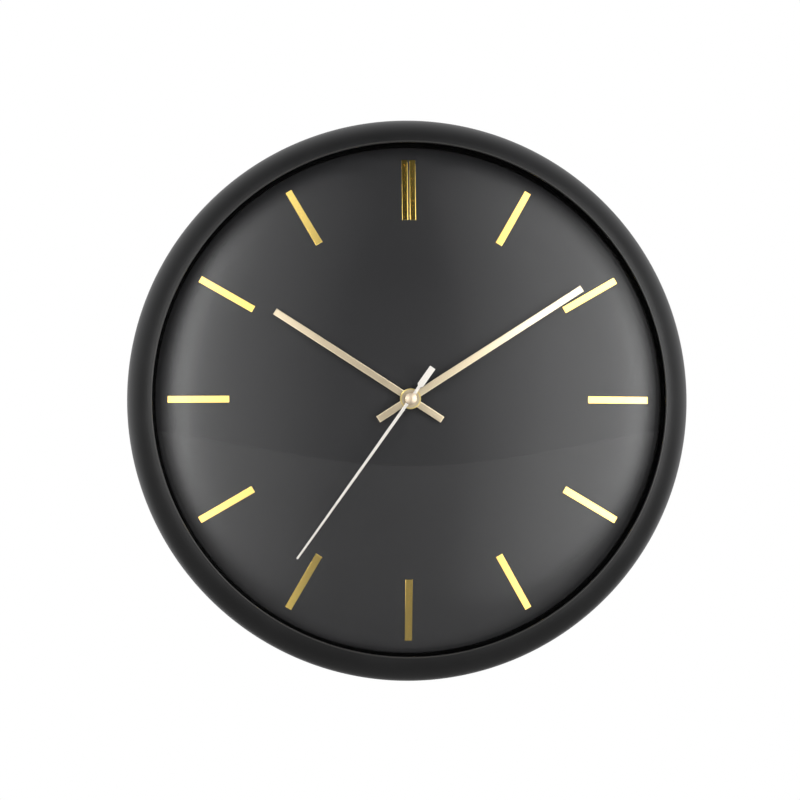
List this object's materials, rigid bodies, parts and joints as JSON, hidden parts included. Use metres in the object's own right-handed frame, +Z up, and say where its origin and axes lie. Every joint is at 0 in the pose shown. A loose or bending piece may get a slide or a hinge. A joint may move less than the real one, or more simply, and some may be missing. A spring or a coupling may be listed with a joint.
{
  "type": "wall clock",
  "caption": "Round wall clock with a domed glass and dial, bar hour markers, straight gold hands and a quartz movement, hung from a keyhole.",
  "frame": {"origin": "centre of the keyhole's round end, at the rear face of the steel hanger plate; the wall's plane is 0.5 mm behind it", "axes": "+Z up towards twelve o'clock, +X to the right seen from the front, -Y out of the wall towards the viewer, +Y into the wall"},
  "size_m": [0.4, 0.0585, 0.4],
  "materials": {
    "case_black": "satin black moulded plastic",
    "glass": "clear domed glass",
    "rubber": "black rubber",
    "spacer_black": "matt black plastic",
    "dial_black": "satin black lacquer on sheet metal",
    "polished_gold": "polished gold-coloured metal",
    "back_black": "matt black moulded plastic",
    "zinc_steel": "zinc-plated steel",
    "movement_black": "black moulded plastic",
    "plate_white": "natural white plastic",
    "brass": "turned brass",
    "contact_metal": "nickel-plated spring steel",
    "battery_can": "plain green battery sleeve, no label",
    "board_green": "green circuit board",
    "copper": "enamelled copper wire",
    "soft_iron": "soft iron sheet",
    "gear_white": "white moulded gear plastic",
    "hand_gold": "brushed champagne-gold metal",
    "second_gold": "light champagne-gold metal",
    "cap_gold": "spun gold-coloured metal"
  },
  "bodies": {
    "clock_case": {"case_shell": "case_black", "glass_dome": "glass", "glass_gasket": "rubber", "spacer_ring": "spacer_black", "dial": "dial_black", "hour_marker_01": "polished_gold", "hour_marker_02": "polished_gold", "hour_marker_03": "polished_gold", "hour_marker_04": "polished_gold", "hour_marker_05": "polished_gold", "hour_marker_06": "polished_gold", "hour_marker_07": "polished_gold", "hour_marker_08": "polished_gold", "hour_marker_09": "polished_gold", "hour_marker_10": "polished_gold", "hour_marker_11": "polished_gold", "hour_marker_12_left": "polished_gold", "hour_marker_12_right": "polished_gold", "back_plate": "back_black", "back_screws": "zinc_steel", "hanger_plate": "zinc_steel", "hanger_screws": "zinc_steel", "movement_housing": "movement_black", "movement_back_cover": "movement_black", "mid_plate": "plate_white", "threaded_bush": "brass", "rubber_washer": "rubber", "brass_washer": "brass", "hex_nut": "brass", "positive_contact": "contact_metal", "negative_contact": "contact_metal", "circuit_board": "board_green", "quartz_crystal": "contact_metal", "coil_bobbin": "plate_white", "coil_winding": "copper", "stator": "soft_iron"},
    "seconds": {"second_wheel": "gear_white", "second_hand": "second_gold", "second_collet": "brass", "second_cap": "cap_gold"},
    "minutes": {"minute_tube": "brass", "minute_hand": "hand_gold", "minute_collet": "brass"},
    "hours": {"hour_wheel": "gear_white", "hour_hand": "hand_gold", "hour_collet": "brass"},
    "rotor": {"rotor": "soft_iron"},
    "intermediate": {"intermediate_wheel": "gear_white"},
    "third": {"third_wheel": "gear_white"},
    "centre": {"centre_wheel": "gear_white"},
    "motion": {"minute_wheel": "gear_white"},
    "knob": {"setting_knob": "movement_black"},
    "battery": {"battery": "battery_can"}
  },
  "joints": [
    {"name": "second_hand_turn", "type": "hinge", "parent": "clock_case", "child": "seconds", "pos_m": [0, -0.02, -0.138], "axis": [0, 1, 0], "continuous": true},
    {"name": "minute_hand_turn", "type": "hinge", "parent": "clock_case", "child": "minutes", "pos_m": [0, -0.02, -0.138], "axis": [0, 1, 0], "continuous": true},
    {"name": "hour_hand_turn", "type": "hinge", "parent": "clock_case", "child": "hours", "pos_m": [0, -0.02, -0.138], "axis": [0, 1, 0], "continuous": true},
    {"name": "rotor_turn", "type": "hinge", "parent": "clock_case", "child": "rotor", "pos_m": [-0.01292, -0.02, -0.13054], "axis": [0, 1, 0], "continuous": true},
    {"name": "intermediate_wheel_turn", "type": "hinge", "parent": "clock_case", "child": "intermediate", "pos_m": [-0.00686, -0.02, -0.13404], "axis": [0, 1, 0], "continuous": true},
    {"name": "third_wheel_turn", "type": "hinge", "parent": "clock_case", "child": "third", "pos_m": [0.00779, -0.02, -0.1335], "axis": [0, 1, 0], "continuous": true},
    {"name": "centre_wheel_turn", "type": "hinge", "parent": "clock_case", "child": "centre", "pos_m": [0, -0.02, -0.138], "axis": [0, 1, 0], "continuous": true},
    {"name": "minute_wheel_turn", "type": "hinge", "parent": "clock_case", "child": "motion", "pos_m": [0, -0.02, -0.1308], "axis": [0, 1, 0], "continuous": true},
    {"name": "setting_knob_turn", "type": "hinge", "parent": "clock_case", "child": "knob", "pos_m": [0.0036, -0.02, -0.12456], "axis": [0, 1, 0], "continuous": true},
    {"name": "battery_out", "type": "slide", "parent": "clock_case", "child": "battery", "axis": [0, 1, 0], "range_m": [0, 0.018]}
  ],
  "couplings": [
    {"joint": "intermediate_wheel_turn", "follows": "second_hand_turn", "ratio": -5},
    {"joint": "rotor_turn", "follows": "second_hand_turn", "ratio": 30},
    {"joint": "third_wheel_turn", "follows": "second_hand_turn", "ratio": -0.13333},
    {"joint": "centre_wheel_turn", "follows": "second_hand_turn", "ratio": 0.016667},
    {"joint": "minute_wheel_turn", "follows": "minute_hand_turn", "ratio": -0.33333},
    {"joint": "setting_knob_turn", "follows": "minute_hand_turn", "ratio": 1},
    {"joint": "hour_hand_turn", "follows": "minute_hand_turn", "ratio": 0.083333}
  ]
}
